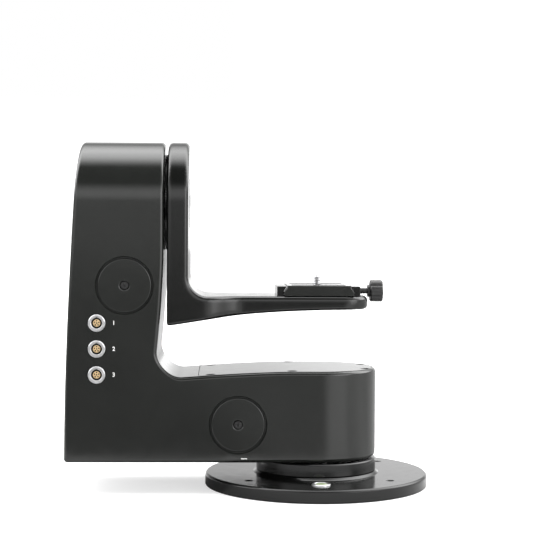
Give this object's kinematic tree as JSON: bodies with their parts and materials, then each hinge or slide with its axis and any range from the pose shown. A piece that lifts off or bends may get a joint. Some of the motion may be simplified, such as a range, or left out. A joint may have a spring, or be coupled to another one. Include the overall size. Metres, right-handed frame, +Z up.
{
  "type": "gimbal stabilizer",
  "caption": "Motorised pan and tilt gimbal head: L-shaped housing on a round base, with a second L-shaped arm that tilts the camera platform.",
  "frame": {"origin": "on the pan axis, at the underside of the base", "axes": "+Z up along the pan axis; +X from the housing's upright towards the pan axis; -Y is the front, with the lens sockets; the tilt axis runs along X"},
  "size_m": [0.2832, 0.176, 0.2701],
  "materials": {
    "black_anodised": "satin black, fine bead-blasted and anodised",
    "black_steel": "satin black powder coat",
    "plain_aluminium": "machined, unpainted",
    "steel": "turned and ground",
    "bright_chrome": "satin chrome plate",
    "level_liquid": "clear window over tinted liquid",
    "black_plastic": "moulded, fine texture",
    "belt_rubber": "toothed belt rubber",
    "circuit_board": "green solder resist",
    "gold_contact": "gold-plated contacts in a brass insert",
    "black_screw": "black oxide"
  },
  "bodies": {
    "base": {"base_flange": "black_steel", "base_cover": "plain_aluminium", "level_bezel": "bright_chrome", "level_vial": "level_liquid", "neck_collar": "black_steel", "pan_spindle": "steel", "pan_pulley": "plain_aluminium", "spindle_lock_ring": "steel", "slip_ring_stator": "black_plastic"},
    "pan_housing": {"l_housing": "black_anodised", "top_cover": "black_anodised", "rear_cover": "black_anodised", "pan_bearing_lower": "steel", "pan_bearing_upper": "steel", "pan_motor": "black_plastic", "pan_motor_bracket": "plain_aluminium", "pan_belt": "belt_rubber", "tilt_motor": "black_plastic", "tilt_motor_bracket": "plain_aluminium", "tilt_belt": "belt_rubber", "control_board": "circuit_board", "slip_ring_rotor": "black_plastic", "power_inlet": "steel", "tilt_bearing_inner": "steel", "tilt_bearing_outer": "steel", "access_cover_upper": "black_anodised", "access_screw_upper": "black_screw", "access_cover_lower": "black_anodised", "access_screw_lower": "black_screw", "lens_socket_shell_1": "bright_chrome", "lens_socket_insert_1": "gold_contact", "lens_socket_shell_2": "bright_chrome", "lens_socket_insert_2": "gold_contact", "lens_socket_shell_3": "bright_chrome", "lens_socket_insert_3": "gold_contact", "top_cover_screw_1": "black_screw", "top_cover_screw_2": "black_screw", "top_cover_screw_3": "black_screw", "top_cover_screw_4": "black_screw", "top_cover_screw_5": "black_screw", "top_cover_screw_6": "black_screw", "rear_cover_screw_1": "black_screw", "rear_cover_screw_2": "black_screw", "rear_cover_screw_3": "black_screw", "rear_cover_screw_4": "black_screw"},
    "pan_drive": {"pan_motor_pulley": "plain_aluminium"},
    "tilt_drive": {"tilt_motor_pulley": "plain_aluminium"},
    "tilt_frame": {"tilt_shaft": "steel", "tilt_lock_nut": "steel", "tilt_pulley": "plain_aluminium", "hub_flange": "black_steel", "tilt_arm": "black_anodised", "shaft_cap": "black_anodised", "motion_sensor_board": "circuit_board", "motion_sensor_cover": "black_anodised"},
    "plate": {"camera_plate": "black_anodised"},
    "screw": {"camera_screw": "steel"},
    "knob": {"clamp_knob": "black_plastic"},
    "rocker": {"power_rocker": "black_plastic"}
  },
  "joints": [
    {"name": "pan", "type": "hinge", "parent": "base", "child": "pan_housing", "pos_m": [0, 0, 0], "axis": [0, 0, 1], "continuous": true},
    {"name": "tilt", "type": "hinge", "parent": "pan_housing", "child": "tilt_frame", "pos_m": [-0.109, 0, 0.2231], "axis": [1, 0, 0], "range_deg": [-90, 90]},
    {"name": "pan_motor_spin", "type": "hinge", "parent": "pan_housing", "child": "pan_drive", "pos_m": [-0.0625, 0, 0.066], "axis": [0, 0, 1], "continuous": true},
    {"name": "tilt_motor_spin", "type": "hinge", "parent": "pan_housing", "child": "tilt_drive", "pos_m": [-0.1555, 0, 0.1586], "axis": [1, 0, 0], "range_deg": [-330, 330]},
    {"name": "plate_slide", "type": "slide", "parent": "tilt_frame", "child": "plate", "axis": [0, 1, 0], "range_m": [-0.012, 0.012]},
    {"name": "camera_screw_turn", "type": "hinge", "parent": "plate", "child": "screw", "pos_m": [0, 0, 0.155], "axis": [0, 0, 1], "continuous": true},
    {"name": "clamp_knob_turn", "type": "hinge", "parent": "tilt_frame", "child": "knob", "pos_m": [0.045, 0, 0.1537], "axis": [1, 0, 0], "range_deg": [-270, 0]},
    {"name": "power_rocker_tilt", "type": "hinge", "parent": "pan_housing", "child": "rocker", "pos_m": [-0.157, 0.045, 0.1], "axis": [1, 0, 0], "range_deg": [0, 14]}
  ],
  "couplings": [
    {"joint": "pan_motor_spin", "follows": "pan", "ratio": -3.75},
    {"joint": "tilt_motor_spin", "follows": "tilt", "ratio": 3.5}
  ]
}
